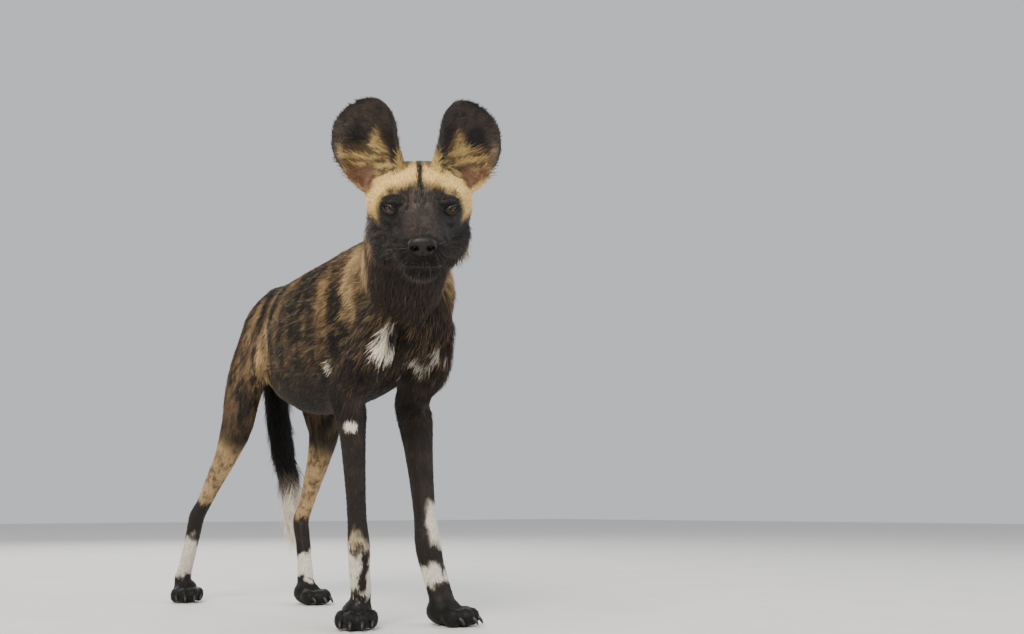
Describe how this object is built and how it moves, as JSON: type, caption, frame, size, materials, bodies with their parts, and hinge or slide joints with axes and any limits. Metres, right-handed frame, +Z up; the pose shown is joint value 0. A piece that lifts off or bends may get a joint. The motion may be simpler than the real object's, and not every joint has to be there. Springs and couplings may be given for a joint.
{
  "type": "african wild dog figure",
  "caption": "Life-size standing African wild dog with large round ears, blotched coat and hanging white-tipped tail.",
  "frame": {"origin": "on the floor under the middle of the whole dog", "axes": "+Z up, -Y towards the nose, +X to the dog's left"},
  "size_m": [0.3749, 1.0014, 0.7442],
  "materials": {
    "coat_dark": "short blackish brown fur",
    "coat_tan": "short tan and gold brindled fur",
    "ear_coat": "thin dark fur over leathery ears",
    "eye_glass": "glossy amber-brown eye",
    "nose_skin": "damp black pebbled skin",
    "claw_horn": "blunt black horn"
  },
  "bodies": {
    "root": {"shoulder_right": "coat_dark", "forearm_right": "coat_tan", "forepaw_right": "coat_dark", "forepaw_claw_right_1": "claw_horn", "forepaw_claw_right_2": "claw_horn", "forepaw_claw_right_3": "claw_horn", "forepaw_claw_right_4": "claw_horn", "thigh_right": "coat_dark", "shank_right": "coat_tan", "hindpaw_right": "coat_dark", "hindpaw_claw_right_1": "claw_horn", "hindpaw_claw_right_2": "claw_horn", "hindpaw_claw_right_3": "claw_horn", "hindpaw_claw_right_4": "claw_horn", "shoulder_left": "coat_dark", "forearm_left": "coat_tan", "forepaw_left": "coat_dark", "forepaw_claw_left_1": "claw_horn", "forepaw_claw_left_2": "claw_horn", "forepaw_claw_left_3": "claw_horn", "forepaw_claw_left_4": "claw_horn", "thigh_left": "coat_dark", "shank_left": "coat_tan", "hindpaw_left": "coat_dark", "hindpaw_claw_left_1": "claw_horn", "hindpaw_claw_left_2": "claw_horn", "hindpaw_claw_left_3": "claw_horn", "hindpaw_claw_left_4": "claw_horn", "nose": "nose_skin", "eye_right": "eye_glass", "eye_left": "eye_glass", "ear_right": "ear_coat", "ear_left": "ear_coat", "head": "coat_tan", "lower_jaw": "coat_dark", "neck": "coat_dark", "chest": "coat_dark", "rump": "coat_tan", "tail": "coat_dark"}
  },
  "joints": []
}
